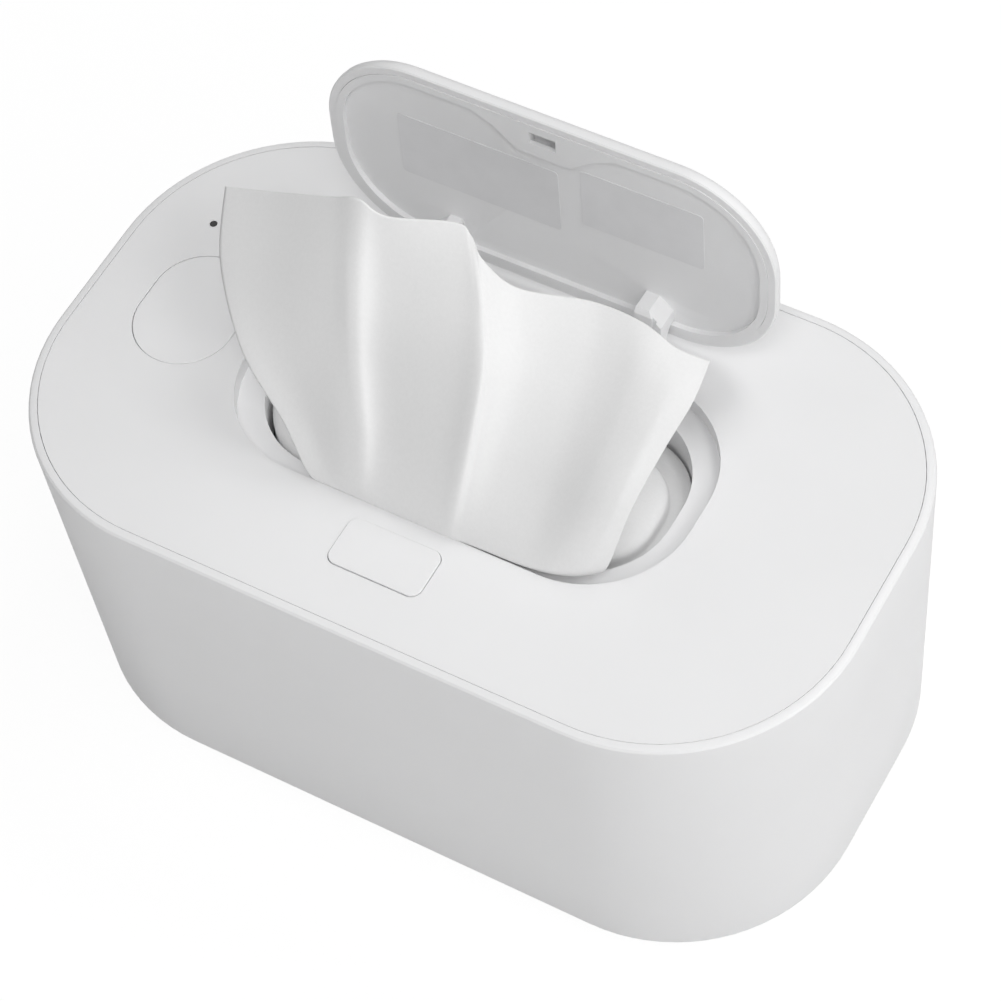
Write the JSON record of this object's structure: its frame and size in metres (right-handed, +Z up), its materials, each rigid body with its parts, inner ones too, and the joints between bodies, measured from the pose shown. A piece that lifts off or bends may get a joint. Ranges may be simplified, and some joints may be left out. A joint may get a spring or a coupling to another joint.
{
  "type": "baby wipe warmer",
  "caption": "Rounded oblong wipe warmer with a lift-off heated cover, a sprung flip lid over the mouth, a release button, an oval power key and a wipe pulled up through the open lid.",
  "frame": {"origin": "centre of the footprint, on the plane that the rubber feet stand on", "axes": "+X along the length, to the right of someone facing the button; +Y from the button side to the hinge side; +Z up"},
  "size_m": [0.2, 0.1184, 0.1509],
  "materials": {
    "shell_white": "satin white",
    "cover_white": "satin white",
    "lid_white": "satin white",
    "key_white": "satin white",
    "liner_plastic": "matt",
    "inner_plastic": "matt",
    "rubber": "matt",
    "silicone": "soft",
    "steel": "plated",
    "spring_steel": "drawn wire",
    "wipes": "non-woven",
    "insulation": "felt",
    "film": "amber film",
    "aluminium": "brushed",
    "board": "solder mask",
    "chips": "moulded",
    "led": "lens",
    "light_black": "tinted lens",
    "fuse": "ceramic",
    "lead_red": "insulated wire",
    "label": "bare film"
  },
  "bodies": {
    "bin": {"outer_shell": "shell_white", "inner_bin": "liner_plastic", "bin_screws": "steel", "foot_front_left": "rubber", "foot_front_right": "rubber", "foot_rear_left": "rubber", "foot_rear_right": "rubber", "lift_springs": "spring_steel"},
    "tray": {"lift_plate": "inner_plastic", "wipe_stack": "wipes"},
    "cover": {"cover_plate": "cover_white", "cover_base": "inner_plastic", "cover_screws": "steel", "cover_gasket": "silicone", "insulation_pad": "insulation", "heater_film": "film", "heat_plate": "aluminium", "heat_plate_screws": "steel", "control_board": "board", "board_screws": "steel", "board_parts": "chips", "usb_socket": "steel", "tact_switch": "chips", "indicator_led": "led", "light_pipe": "light_black", "thermistor": "chips", "thermal_fuse": "fuse", "heater_leads": "lead_red", "hinge_pins": "steel", "lid_springs": "spring_steel", "button_spring": "spring_steel", "key_spring": "spring_steel", "pulled_wipe": "wipes"},
    "lid": {"lid_shell": "lid_white", "lid_liner": "lid_white", "lid_label_left": "label", "lid_label_right": "label"},
    "button": {"release_button": "key_white"},
    "latch": {"latch_slider": "inner_plastic"},
    "key": {"power_key": "key_white"}
  },
  "joints": [
    {"name": "cover_lift", "type": "slide", "parent": "bin", "child": "cover", "axis": [0, 0, 1], "range_m": [0, 0.08]},
    {"name": "lid_hinge", "type": "hinge", "parent": "cover", "child": "lid", "pos_m": [0, 0.0362, 0.087], "axis": [1, 0, 0], "range_deg": [0, 93], "stiffness_Nm_per_rad": 0.012, "springref_deg": -80.21, "deforming": ["pulled_wipe", "lid_springs"]},
    {"name": "button_press", "type": "slide", "parent": "cover", "child": "button", "axis": [0, 0, -1], "range_m": [0, 0.0015], "stiffness_N_per_m": 900, "springref_m": -0.0012, "deforming": ["button_spring"]},
    {"name": "latch_draw", "type": "slide", "parent": "cover", "child": "latch", "axis": [0, -1, 0], "range_m": [0, 0.0015]},
    {"name": "key_press", "type": "slide", "parent": "cover", "child": "key", "axis": [0, 0, -1], "range_m": [0, 0.0006], "stiffness_N_per_m": 900, "springref_m": -0.0012, "deforming": ["key_spring"]},
    {"name": "tray_sink", "type": "slide", "parent": "bin", "child": "tray", "axis": [0, 0, -1], "range_m": [0, 0.012], "stiffness_N_per_m": 450, "springref_m": -0.015, "deforming": ["lift_springs"]}
  ],
  "couplings": [
    {"joint": "latch_draw", "follows": "button_press", "ratio": 1}
  ]
}
